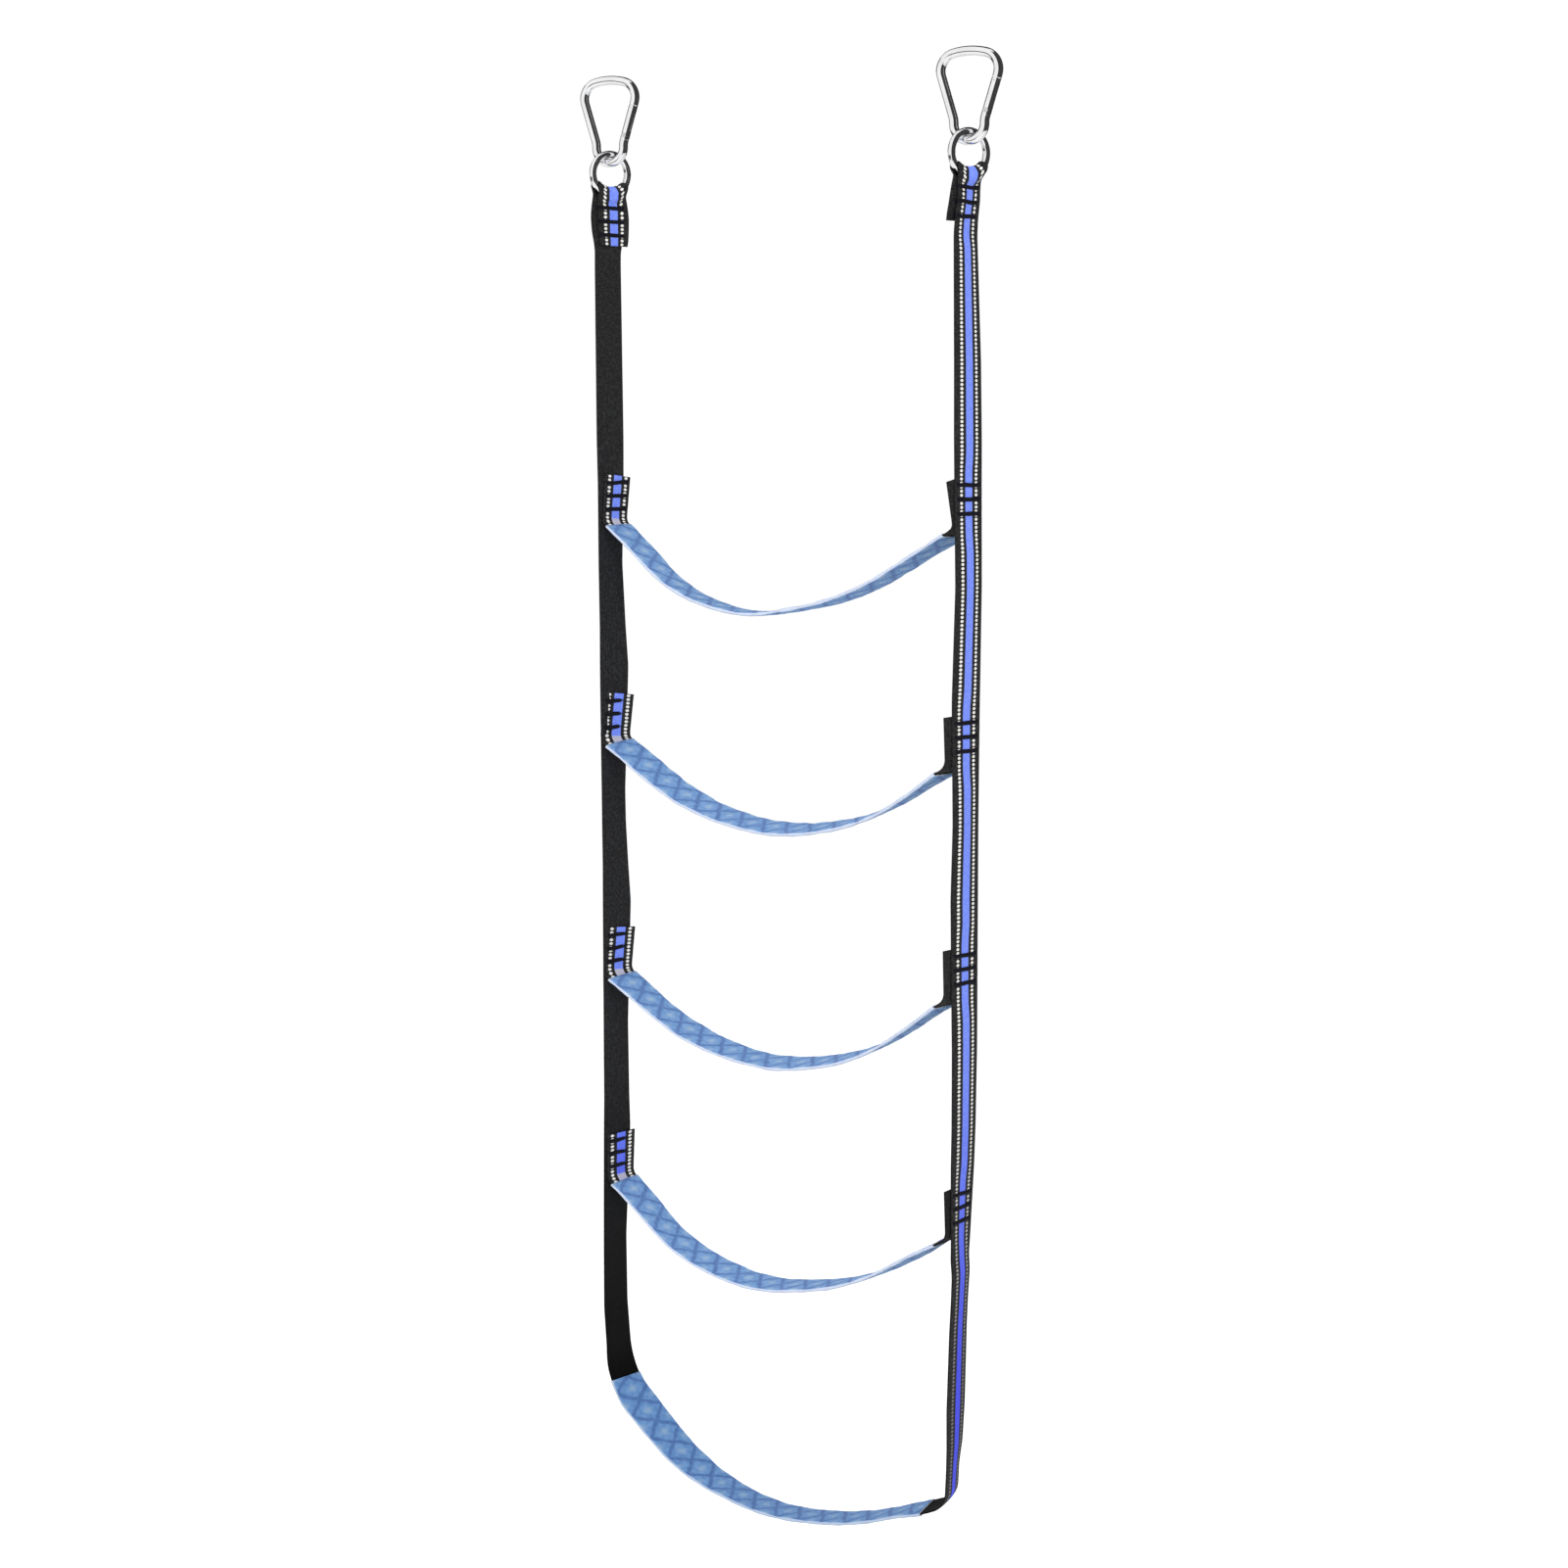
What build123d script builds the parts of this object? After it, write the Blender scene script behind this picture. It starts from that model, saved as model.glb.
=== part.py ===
from build123d import *
from math import atan, atan2, cos, degrees, dist, radians, sin, tan
import os

# Escape rope ladder: two webbing side straps joined by sewn webbing rungs in fabric sleeves, each
# strap looped over a steel ring that hangs in a spring snap hook.
# X runs across the ladder, Y is its depth and Z is up. The origin is half way between the hooks,
# on the line that an anchor bar bears on inside the two hook bows.

# ---- side straps and rungs ----
webbing_width = 45.0
webbing_thickness = 1.8
strap_spacing = 483.0  # between the middle planes of the two side straps
rung_pitch = 250.0
first_rung_drop = 480.0  # from the anchor line to the foot of the first rung's sewn tabs
tab_length = 52.0  # sewn end of a rung strap, lying up the side strap
tab_bend_radius = 14.0
left_foot_rises = (-3.0, 1.5, -15.5, -4.0)  # of each rung's left tab, over the even pitch
right_foot_rises = (0.0, 3.0, 8.0, 2.5)
rung_sags = (97.0, 81.5, 91.5, 93.0)  # from the even pitch down to each rung's lowest point
rung_low_offsets = (-44.0, -3.0, -10.0, -30.0)  # of the lowest point, from the middle
quarter_reach = 0.49  # share of a half rung, from the lowest point, where its slope changes
quarter_drop = 0.77  # share of the sag that is reached there
low_corner_drop = 6.0  # the corner of the lowest bend lies this far under its arc
bend_share = 0.45  # share of the shorter run beside a bend that its arc takes up

# ---- bottom rung, made by the side straps' own webbing; its drops are from the rung above ----
bottom_rung_step = 349.0  # to its lowest point
bottom_low_offset = -16.5
left_bend_step = 237.0
left_bend_radius = 85.0
right_bend_step = 292.5
right_bend_radius = 22.0
right_lean = 14.0  # the right strap is drawn in by this much at its bend
right_lean_step = 22.0
right_lean_radius = 900.0

# ---- rung sleeves: flattened fabric tubes round the webbing ----
sleeve_wall = 1.1
sleeve_gap = 0.3
sleeve_corner = 1.3
sleeve_setback = 13.0  # along a rung's webbing, from its foot to the hem
bottom_sleeve_setbacks = (2.0, 29.0)

# ---- bar tacks: a core of thread through both layers, under a raised bar on each face ----
tack_length = 38.0
tack_height = 3.4
tack_proud = 0.4
tack_core_length = 36.0
tack_core_height = 1.2
tack_count = 3
tack_pitch = 14.8
first_tack = 8.0  # below the top of a tab
first_loop_tack = 3.2  # below the throat of a webbing loop

# ---- snap hooks ----
hook_wire = 10.0
hook_length = 100.0
hook_turn = 12.0  # degrees between a hook's plane and the ladder's
crown_peak = 2.0
shoulder_half = 36.8
shoulder_drop = 6.5
shoulder_radius = 18.0
foot_width = 44.0
foot_rise = 21.0  # height of the foot's parallel sides over the lowest wire centre
foot_radius = 16.6
foot_blend_radius = 24.0
hinge_rise = 9.0  # up the limb from the foot's corner to the gate's hinge
gate_length = 34.0  # from the hinge's centre to the gate's tip
gate_travel = 28.0  # degrees, from shut to wide open
gate_tip_gap = 0.6
heel_radius = 5.5
heel_gap = 0.3
tang_thickness = 4.0
tang_radius = 4.0
tang_offset = 1.0  # of its round end from the hinge, so that an opening gate drives the plunger
tang_gap = 0.25
tang_end_gap = 0.7
rivet_radius = 1.6
rivet_gap = 0.05
rivet_head_radius = 2.6
rivet_head_seat = 4.2  # from the hook's plane to the underside of a rivet head
rivet_head_height = 1.1
tongue_thickness = 3.0
tongue_depth = 6.0
tongue_gap = 0.3
tongue_end_gap = 0.8
tongue_inner = 2.2  # the tongue reaches this far inside the wire's centre line
nose_pin_radius = 1.0
nose_pin_drop = 3.0
nose_pin_inset = 0.4
nose_notch_gap = 0.35
tip_chamfer = 0.6
bore_radius = 2.3
bore_wall = 3.2  # of steel between the spring's bore and the tongue's slot
spring_wire = 0.8
spring_wire_sides = 6
spring_turns = 5
spring_gap = 0.2
plunger_length = 5.5
plunger_gap = 0.3

# ---- rings, and the webbing loops over them ----
ring_diameter = 52.0
ring_wire = 8.0
ring_gap = 0.4  # between a ring and the hook wire that it hangs on
ring_turn = 20.0  # degrees between a ring's plane and its strap's width
weld_bead = 0.15
weld_angle = 7.0
loop_gap = 0.3  # between a ring and the webbing over it
loop_half_angle = 62.0  # of ring covered by the webbing, each side of the ring's lowest point
throat_drop = 2.4  # below the ring, where the loop's two legs begin to close
throat_length = 8.0
throat_radius = 5.0
seam_rise = 0.6  # of the tail's seam over the corner where the loop's two legs part
neck_length = 28.0  # over which the gathered webbing widens again
tail_length = 41.0  # sewn length of the strap's turned-back end
untwist_length = 60.0  # of strap below the tail, which turns from the ring's plane to its own

# ---- places that follow from those sizes ----
sides = ((-1, "left"), (1, "right"))
half_spacing = strap_spacing / 2
half_webbing = webbing_thickness / 2
wire_radius = hook_wire / 2
ring_wire_radius = ring_wire / 2
ring_radius = ring_diameter / 2 - ring_wire_radius
crown_z = wire_radius
foot_z = crown_z - (hook_length - hook_wire)
ring_z = foot_z + wire_radius + ring_gap + ring_wire_radius - ring_radius
ring_x = half_spacing - half_webbing
ring_foot_z = ring_z - ring_radius
throat_z = ring_foot_z - ring_wire_radius - throat_drop
closed_z = throat_z - throat_length
tail_z = closed_z - tail_length
strap_top_z = tail_z - untwist_length
foot_half = foot_width / 2 - wire_radius
shoulder = (shoulder_half, crown_z - shoulder_drop)
foot_corner = (foot_half, foot_z + foot_rise)
limb_lean = degrees(atan2(shoulder[0] - foot_corner[0], shoulder[1] - foot_corner[1]))
slot_floor = gate_length - tongue_depth - tongue_end_gap
bore_end = slot_floor - bore_wall
plunger_travel = tang_offset * sin(radians(gate_travel))
plunger_foot = tang_radius + plunger_gap
last_rung_drop = first_rung_drop + (len(rung_sags) - 1) * rung_pitch
right_lean_start = last_rung_drop + right_lean_step


# ---------------------------------------------------------------- ribbons of webbing
def sag_corners(left, right, low):
    """Corners of a hanging rung between its two ends, given the lowest point it reaches."""
    corner = (low[0], low[1] - low_corner_drop)
    quarters = [
        (corner[0] + quarter_reach * (end[0] - corner[0]),
         end[1] + quarter_drop * (corner[1] - end[1]))
        for end in (left, right)
    ]
    return [left, quarters[0], corner, quarters[1], right]


def bend_radii(corners):
    """Radius of each inner corner: as large as the two runs beside it allow."""
    radii = []
    for before, corner, after in zip(corners, corners[1:], corners[2:]):
        arriving = Vector(*corner) - Vector(*before)
        leaving = Vector(*after) - Vector(*corner)
        half_turn = radians(arriving.get_angle(leaving)) / 2
        radii.append(bend_share * min(arriving.length, leaving.length) / tan(half_turn))
    return radii


def moved_along(start, end, distance):
    """The point that far from start on the way to end."""
    share = distance / dist(start, end)
    return tuple(a + share * (b - a) for a, b in zip(start, end))


def rounded_path(corners, radii):
    """A line in the X-Z plane with its inner corners rounded."""
    return FilletPolyline(*[(x, 0, z) for x, z in corners], radius=radii)


def ribbon(path, width, thickness, corner_radius=0):
    """A flat band that follows a path in the X-Z plane, its width along Y."""
    across = Plane(origin=path @ 0, x_dir=(0, 1, 0), z_dir=path % 0)
    if corner_radius:
        section = RectangleRounded(width, thickness, corner_radius)
    else:
        section = Rectangle(width, thickness)
    return sweep(across * section, path=path)


def tack_places(x, top_z):
    """Middles of a row of bar tacks, on the plane x where the two layers of webbing meet."""
    return [Pos(x, 0, top_z - i * tack_pitch) for i in range(tack_count)]


def bar_tack():
    """One bar tack through two layers of webbing, with a raised bar on each face."""
    tack = Box(2 * webbing_thickness, tack_core_length, tack_core_height)
    shift = webbing_thickness + tack_proud / 2
    for face in (-1, 1):
        tack += Pos(face * shift, 0, 0) * Box(tack_proud, tack_length, tack_height)
    return tack


def stitched(webbing, places):
    """Webbing with the room that the bar tacks at those places take up in it."""
    hole = Box(4 * webbing_thickness, tack_core_length, tack_core_height)
    return webbing - [place * hole for place in places]


def rung_height(number):
    """Where the even pitch of the rungs puts a rung's feet."""
    return -(first_rung_drop + number * rung_pitch)


def rung_feet(number):
    """The two corners where a rung strap leaves the side straps."""
    foot_x = half_spacing - webbing_thickness
    left_z = rung_height(number) + left_foot_rises[number]
    right_z = rung_height(number) + right_foot_rises[number]
    return (-foot_x, left_z), (foot_x, right_z)


def rung_corners(number):
    low = (rung_low_offsets[number], rung_height(number) - rung_sags[number])
    return sag_corners(*rung_feet(number), low)


def bottom_corners():
    return sag_corners(
        (-half_spacing, -last_rung_drop - left_bend_step),
        (half_spacing - right_lean, -last_rung_drop - right_bend_step),
        (bottom_low_offset, -last_rung_drop - bottom_rung_step),
    )


def rung_path(number):
    """A rung's webbing, from the top of one tab down, across and up to the top of the other."""
    span = rung_corners(number)
    tops = [(end[0], end[1] + tab_length) for end in (span[0], span[-1])]
    radii = [tab_bend_radius, *bend_radii(span), tab_bend_radius]
    return rounded_path([tops[0], *span, tops[1]], radii)


def strap_path():
    """The side straps' webbing, from one plain top down, across and up to the other."""
    span = bottom_corners()
    corners = [(-half_spacing, strap_top_z), *span, (half_spacing, -right_lean_start),
               (half_spacing, strap_top_z)]
    radii = [left_bend_radius, *bend_radii(span), right_bend_radius, right_lean_radius]
    return rounded_path(corners, radii)


def sleeve(path, hems):
    """Flattened fabric tube over the webbing on a path, open at its hems, which are so far
    along the webbing from the path's two ends."""
    covered = path.trim(hems[0] / path.length, 1 - hems[1] / path.length)
    inner_width = webbing_width + 2 * sleeve_gap
    inner_thickness = webbing_thickness + 2 * sleeve_gap
    outer = ribbon(covered, inner_width + 2 * sleeve_wall, inner_thickness + 2 * sleeve_wall,
                   sleeve_corner + sleeve_wall * 0.8)
    return outer - ribbon(covered, inner_width, inner_thickness)


def bottom_sleeve():
    ends = (bottom_corners()[0], bottom_corners()[-1])
    hems = [strap_top_z - end[1] + setback for end, setback in zip(ends, bottom_sleeve_setbacks)]
    return sleeve(strap_path(), hems)


def rung_tack_places(number, side):
    """Where the bar tacks hold one tab of a rung strap to its side strap."""
    foot = rung_feet(number)[side > 0]
    return tack_places(side * (half_spacing - half_webbing), foot[1] + tab_length - first_tack)


# ---------------------------------------------------------------- webbing loops over the rings
def at_ring(side):
    """Frame of one ring: X is the ring's axis and points at the tail, Z is up through its middle."""
    return Location((side * ring_x, 0, 0), (0, 0, -ring_turn + (180 if side > 0 else 0)))


def loop_outline():
    """Cutter for the gathered webbing of a loop, seen along the ring's axis."""
    edge_y = ring_radius * sin(radians(loop_half_angle))
    edge_z = ring_z - ring_radius * cos(radians(loop_half_angle))
    full_width = (webbing_width / 2, edge_z - neck_length)
    wide_y, wide_z = moved_along((edge_y, edge_z), full_width, 1.5 * neck_length)
    with BuildSketch(Plane.YZ) as outline:
        with BuildLine():
            ThreePointArc((-edge_y, edge_z), (0, ring_foot_z), (edge_y, edge_z))
            Polyline((edge_y, edge_z), (wide_y, wide_z), (wide_y, strap_top_z),
                     (-wide_y, strap_top_z), (-wide_y, wide_z), (-edge_y, edge_z))
        make_face()
    return extrude(outline.sketch, ring_diameter, both=True)


def loop_arch():
    """The fold of webbing over the ring, which follows the ring's own curve."""
    inner = ring_wire_radius + loop_gap
    fold = Circle(inner + webbing_thickness) - Circle(inner)
    fold &= Pos(0, ring_wire, 0) * Rectangle(4 * ring_wire, 2 * ring_wire)
    ring_axis = Axis((0, 0, ring_z), (1, 0, 0))
    section = (Pos(0, 0, ring_foot_z) * (Plane.XZ * fold)).rotate(ring_axis, -loop_half_angle)
    return revolve(section, ring_axis, 2 * loop_half_angle)


def loop_tack_places():
    """Where the bar tacks close a webbing loop, in its ring's frame."""
    return tack_places(0, closed_z - first_loop_tack)


def webbing_loop():
    """A side strap's upper end in the ring's frame: arch, two legs, sewn tail and the untwist."""
    leg_x = ring_wire_radius + loop_gap + half_webbing
    legs = []
    for layer in (-1, 1):
        corners = [(layer * half_webbing, tail_z), (layer * half_webbing, closed_z),
                   (layer * leg_x, throat_z), (layer * leg_x, ring_z)]
        path = rounded_path(corners, [throat_radius] * 2)
        legs.append(ribbon(path, webbing_width, webbing_thickness))
    seam = box_between((-half_webbing, half_webbing), webbing_width, (tail_z, closed_z + seam_rise))
    sewn = (legs[0] + legs[1] + seam) & loop_outline()
    strap_section = Pos(-half_webbing, 0, tail_z) * Rectangle(webbing_thickness, webbing_width)
    untwist = Solid.extrude_linear_with_rotation(
        strap_section.face(), (0, 0, tail_z), (0, 0, -untwist_length), -ring_turn
    )
    return stitched(sewn + loop_arch() + untwist, loop_tack_places())


def main_strap():
    """Both side straps and the bottom rung: one length of webbing, looped at each end."""
    strap = ribbon(strap_path(), webbing_width, webbing_thickness)
    for number in range(len(rung_sags)):
        for side in (-1, 1):
            strap = stitched(strap, rung_tack_places(number, side))
    loop = webbing_loop()
    for side in (-1, 1):
        strap += at_ring(side) * loop
    return strap


# ---------------------------------------------------------------- rings
def ring():
    """Welded steel ring, with the low bead of its weld half way down one side."""
    turned = Pos(0, 0, ring_z) * Rot(0, 90, 0)
    bead = revolve(
        Plane.XZ * (Pos(ring_radius, 0) * Circle(ring_wire_radius + weld_bead)), Axis.Z, weld_angle
    )
    return turned * (Torus(ring_radius, ring_wire_radius) + Rot(0, 0, 90 - weld_angle / 2) * bead)


# ---------------------------------------------------------------- snap hooks
def at_hook(side):
    """Frame of one hook: X is across its bow, towards the gate's limb, and Y is its normal."""
    return Location((side * ring_x, 0, 0), (0, 0, hook_turn))


def at_gate():
    """The gate's own frame in its hook: Y is the hinge's axis and Z points at the gate's tip."""
    hinge = moved_along(foot_corner, shoulder, hinge_rise)
    return Location((hinge[0], 0, hinge[1]), (0, limb_lean, 0))


def along_y(radius, length, x=0.0, z=0.0):
    """A cylinder across the hook's plane."""
    return Pos(x, 0, z) * Rot(90, 0, 0) * Cylinder(radius, length)


def box_between(x_range, width, z_range):
    """A box centred on the hook's plane."""
    size_x = x_range[1] - x_range[0]
    size_z = z_range[1] - z_range[0]
    middle = ((x_range[0] + x_range[1]) / 2, 0, (z_range[0] + z_range[1]) / 2)
    return Pos(*middle) * Box(size_x, width, size_z)


def hook_rod():
    """Round bar of a hook, bent from the nose over the crown and the foot to the hinge."""
    reach = gate_length + gate_tip_gap + hinge_rise
    nose = moved_along(foot_corner, shoulder, reach)
    heel = moved_along(foot_corner, shoulder, hinge_rise - heel_radius / 2)
    corners = [nose, shoulder, (0, crown_z + crown_peak), (-shoulder[0], shoulder[1]),
               (-foot_corner[0], foot_corner[1]), (-foot_half, foot_z), (foot_half, foot_z),
               foot_corner, heel]
    crown_slope = atan((crown_peak + shoulder_drop) / shoulder_half)
    crown_radius = crown_peak / (1 / cos(crown_slope) - 1)
    radii = [shoulder_radius, crown_radius, shoulder_radius, foot_blend_radius, foot_radius,
             foot_radius, foot_blend_radius]
    path = FilletPolyline(*[(x, 0, z) for x, z in corners], radius=radii)
    across = Plane(origin=path @ 0, z_dir=path % 0)
    return sweep(across * Circle(wire_radius), path=path)


def hinge_tang():
    """Flat eye that the gate turns on, off centre to work its plunger, in the gate's frame."""
    faces = (-tang_radius - tang_offset, tang_radius - tang_offset)
    plate = box_between(faces, tang_thickness, (-2 * tang_radius, 0))
    eye = plate + along_y(tang_radius, tang_thickness, -tang_offset)
    return eye - along_y(rivet_radius + rivet_gap, hook_wire)


def nose_tongue():
    """Notched tongue that stands in the gate's tip and catches its pin, in the gate's frame."""
    blade = box_between((-tongue_inner, wire_radius), tongue_thickness,
                        (gate_length - tongue_depth, gate_length + 2 * gate_tip_gap))
    blade &= Pos(0, 0, gate_length) * Cylinder(wire_radius, 4 * tongue_depth)
    notch = nose_pin_radius + nose_notch_gap
    pin_z = gate_length - nose_pin_drop
    mouth = box_between((-hook_wire, -nose_pin_inset), hook_wire, (pin_z - notch, pin_z + notch))
    return blade - along_y(notch, hook_wire, -nose_pin_inset, pin_z) - mouth


def hook_body():
    seat = at_gate() * along_y(heel_radius + heel_gap, 2 * hook_wire)
    return hook_rod() - seat + at_gate() * hinge_tang() + at_gate() * nose_tongue()


def gate():
    """Round gate: forked over the hinge tang, bored for its spring and slotted for the tongue."""
    bar = Pos(0, 0, (gate_length - heel_radius) / 2) * Cylinder(
        wire_radius, gate_length + heel_radius
    )
    tip = bar.edges().sort_by(Axis.Z)[-1]
    bar = chamfer(tip, tip_chamfer)
    above_hinge = box_between((-hook_wire, hook_wire), 2 * hook_wire, (0, 2 * gate_length))
    bar &= above_hinge + along_y(heel_radius, 2 * hook_wire)
    through = (-hook_wire, hook_wire)
    fork_top = tang_radius + plunger_travel + tang_end_gap
    bar -= box_between(through, tang_thickness + 2 * tang_gap, (-hook_wire, fork_top))
    bar -= box_between(through, tongue_thickness + 2 * tongue_gap, (slot_floor, 2 * gate_length))
    bar -= Pos(0, 0, bore_end / 2) * Cylinder(bore_radius, bore_end)
    bar -= along_y(rivet_radius, 2 * hook_wire)
    for face in (-1, 1):
        seat_middle = rivet_head_seat + rivet_head_height
        bar -= Pos(0, face * seat_middle, 0) * along_y(rivet_head_radius, 2 * rivet_head_height)
    return bar - along_y(nose_pin_radius, hook_wire, -nose_pin_inset, gate_length - nose_pin_drop)


def gate_rivet():
    rivet = along_y(rivet_radius, 2 * rivet_head_seat)
    for face in (-1, 1):
        head = Pos(0, face * (rivet_head_seat + rivet_head_height / 2), 0) * along_y(
            rivet_head_radius, rivet_head_height
        )
        rivet += head
    return rivet


def nose_pin():
    half_chord = (wire_radius**2 - nose_pin_inset**2) ** 0.5 - nose_pin_radius * 0.4
    return along_y(nose_pin_radius, 2 * half_chord, -nose_pin_inset, gate_length - nose_pin_drop)


def plunger():
    """Pin that the spring presses against the hinge tang."""
    middle = plunger_foot + plunger_length / 2
    return Pos(0, 0, middle) * Cylinder(tang_thickness / 2, plunger_length)


def gate_spring():
    """Coil spring in the gate's bore, clear of the plunger at the end of its travel."""
    low = plunger_foot + plunger_length + plunger_travel + spring_wire / 2 + spring_gap
    high = bore_end - spring_wire / 2 - spring_gap
    coil_radius = bore_radius - spring_gap - spring_wire / 2
    coil = Pos(0, 0, low) * Helix((high - low) / spring_turns, high - low, coil_radius)
    section = Plane(origin=coil @ 0, z_dir=coil % 0) * RegularPolygon(spring_wire / 2, spring_wire_sides)
    return sweep(section, path=coil, is_frenet=True)


# ---------------------------------------------------------------- the whole ladder
def build_ladder():
    """Every piece in place, by node name."""
    pieces = {"main_strap": main_strap()}
    tack_rows = {}
    for number in range(len(rung_sags)):
        path = rung_path(number)
        webbing = ribbon(path, webbing_width, webbing_thickness)
        for side, word in sides:
            places = rung_tack_places(number, side)
            tack_rows[f"{word}_tacks_{number + 1}"] = places
            webbing = stitched(webbing, places)
        pieces[f"rung_strap_{number + 1}"] = webbing
        pieces[f"rung_sleeve_{number + 1}"] = sleeve(path, [tab_length + sleeve_setback] * 2)
    pieces["rung_sleeve_5"] = bottom_sleeve()
    for side, word in sides:
        tack_rows[f"{word}_loop_tacks"] = [at_ring(side) * place for place in loop_tack_places()]
    for name, places in tack_rows.items():
        pieces[name] = Compound(children=[place * bar_tack() for place in places])

    gate_parts = {"gate": gate(), "gate_rivet": gate_rivet(), "nose_pin": nose_pin(),
                  "gate_plunger": plunger(), "gate_spring": gate_spring()}
    body = hook_body()
    for side, word in sides:
        pieces[f"{word}_ring"] = at_ring(side) * ring()
        pieces[f"{word}_hook_body"] = at_hook(side) * body
        for name, part in gate_parts.items():
            pieces[f"{word}_{name}"] = at_hook(side) * at_gate() * part
    return pieces


os.makedirs("parts", exist_ok=True)
for node, piece in build_ladder().items():
    export_step(piece, f"parts/{node}.step")
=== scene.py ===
import math

import bpy
import numpy as np
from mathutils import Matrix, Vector


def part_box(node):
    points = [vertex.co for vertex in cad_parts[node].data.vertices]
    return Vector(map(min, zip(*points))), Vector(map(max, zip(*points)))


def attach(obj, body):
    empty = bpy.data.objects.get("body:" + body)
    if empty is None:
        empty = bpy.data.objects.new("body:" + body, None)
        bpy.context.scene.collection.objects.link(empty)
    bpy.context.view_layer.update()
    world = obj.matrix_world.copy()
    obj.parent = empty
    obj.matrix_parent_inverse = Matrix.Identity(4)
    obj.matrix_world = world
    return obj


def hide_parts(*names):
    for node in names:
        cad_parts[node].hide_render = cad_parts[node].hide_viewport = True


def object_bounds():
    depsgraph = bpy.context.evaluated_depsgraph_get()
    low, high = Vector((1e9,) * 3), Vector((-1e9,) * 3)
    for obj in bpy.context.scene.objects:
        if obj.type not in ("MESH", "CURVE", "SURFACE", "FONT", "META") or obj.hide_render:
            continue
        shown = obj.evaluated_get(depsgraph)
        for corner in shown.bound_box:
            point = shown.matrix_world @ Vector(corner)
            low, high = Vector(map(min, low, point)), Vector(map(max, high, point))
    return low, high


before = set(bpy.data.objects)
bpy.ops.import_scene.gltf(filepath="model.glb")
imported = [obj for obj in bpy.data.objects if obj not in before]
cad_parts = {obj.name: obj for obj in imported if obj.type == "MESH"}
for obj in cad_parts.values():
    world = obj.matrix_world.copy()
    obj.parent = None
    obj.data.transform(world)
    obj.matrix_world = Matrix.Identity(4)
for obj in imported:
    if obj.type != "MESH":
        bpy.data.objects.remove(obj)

# Escape rope ladder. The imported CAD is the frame: its steel stays and gets its finish here, and
# its webbing, sleeves and tacks are replaced by pieces that show folds, weave and stitches.
# Everything is in metres, in the CAD's frame.

cad_low, cad_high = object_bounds()

# ---- webbing and sleeves, as in the CAD ----
webbing_width = 0.045
webbing_thickness = 0.0018
tab_length = 0.052  # sewn end of a rung strap, lying up the side strap
tab_bend_radius = 0.014
rung_low_offsets = (-0.044, -0.003, -0.010, -0.030)  # of the lowest point, from the middle
bottom_low_offset = -0.0165
quarter_reach = 0.49  # share of a half rung, from the lowest point, where its slope changes
quarter_drop = 0.77  # share of the sag that is reached there
low_corner_drop = 0.006  # the corner of the lowest bend lies this far under its arc
bend_share = 0.45  # share of the shorter run beside a bend that its arc takes up
left_bend = (0.0, -1.467, 0.085)  # how far the strap is drawn in there, its height and its radius
right_bend = (0.014, -1.5225, 0.022)
right_lean_start = -1.252
right_lean_radius = 0.9
bottom_sleeve_setbacks = (0.002, 0.029)  # left and right, from the bends to the hems
tack_count = 3
tack_pitch = 0.0148
tack_height = 0.0034
tack_length = 0.038
first_tack = 0.008  # below the top of a tab
upper_rungs = range(1, 5)
bottom_rung = 5

# ---- loops over the rings: the turned-back tail, the fold, and the leg, which carries on down ----
ring_turn = 20  # degrees between a ring's plane and the Y axis
ring_wire_radius = 0.004
loop_gap = 0.0003
wire_clearance = 0.0005  # between the webbing's surface and the ring, at the least
layers_close = (0.0048, 0.0116)  # depths below the wire between which the two layers close up
strap_top_z = -0.235  # where a loop's rows end and the strap's route starts
fold_rows = 13
fold_lift = 0.0025  # the stiff fold spans the ring's lowest point by this much
fold_reach = 0.9  # radians of ring, each side of its lowest point, that the fold spans
curl_depth = 0.028  # below the wire, where a layer no longer follows the ring's curve
tail_ends = {"left": -0.176, "right": -0.167}
loop_bar_lifts = {"left": 0.0025, "right": 0.005}  # of its bars over those in the CAD

# ---- how the cloth hangs, which the CAD leaves out ----
# Each pair is a place, in metres, with a turn in degrees or a shift in millimetres.
row_step = 0.002
arc_points = 16
curve_samples = 9
# turn of each side strap about its own length, by height
strap_turns = {
    "left": ((-0.119, -20), (-0.126, -12), (-0.134, -10), (-0.16, -8), (-0.172, -4),
             (-0.182, 1.5), (-0.39, -0.5), (-0.529, 5), (-0.601, 1), (-0.646, -4), (-0.788, 5),
             (-0.824, 4.5), (-0.869, 1.5), (-0.915, -3.5), (-1.056, 3), (-1.141, 1.5),
             (-1.176, -1), (-1.307, 6), (-1.43, 3.5), (-1.455, -2)),
    "right": ((-0.119, -20), (-0.126, -8), (-0.134, 2), (-0.145, 4), (-0.31, -3),
              (-0.39, -4.5), (-0.542, -2.5), (-0.659, -5.5), (-0.788, -1.5), (-0.87, -4.5),
              (-1.153, 1.5), (-1.253, 9.5), (-1.3, 11), (-1.416, 9.5), (-1.459, 13),
              (-1.485, 17)),
}
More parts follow.
